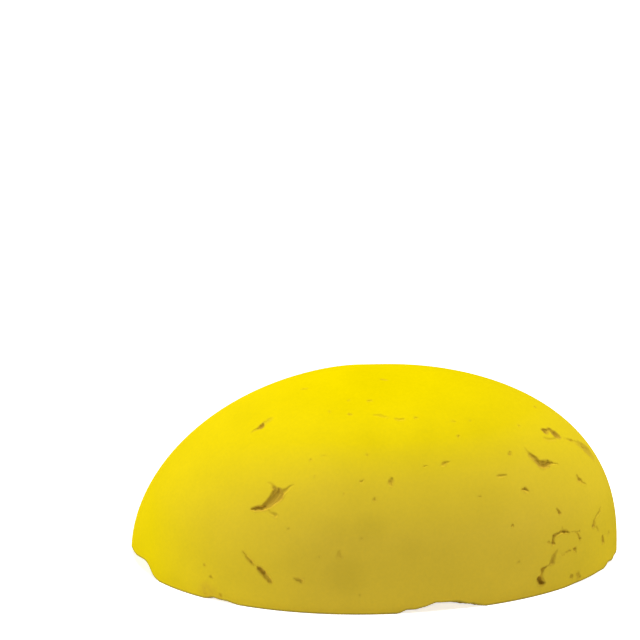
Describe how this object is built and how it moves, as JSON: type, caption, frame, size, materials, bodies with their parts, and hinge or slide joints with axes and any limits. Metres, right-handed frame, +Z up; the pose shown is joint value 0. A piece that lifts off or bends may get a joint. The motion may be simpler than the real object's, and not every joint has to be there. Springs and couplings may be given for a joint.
{
  "type": "soft pastel stick",
  "caption": "Hand-moulded half-egg stick of soft pastel with a flat underside, a pitted skin and a chipped rim.",
  "frame": {"origin": "middle of the flat underside", "axes": "+X towards the blunt end along the length, +Z up from the underside to the crown, -Y the front"},
  "size_m": [0.057, 0.033, 0.0223],
  "materials": {
    "pigment": "matte"
  },
  "bodies": {
    "root": {"pastel_stick": "pigment"}
  },
  "joints": []
}
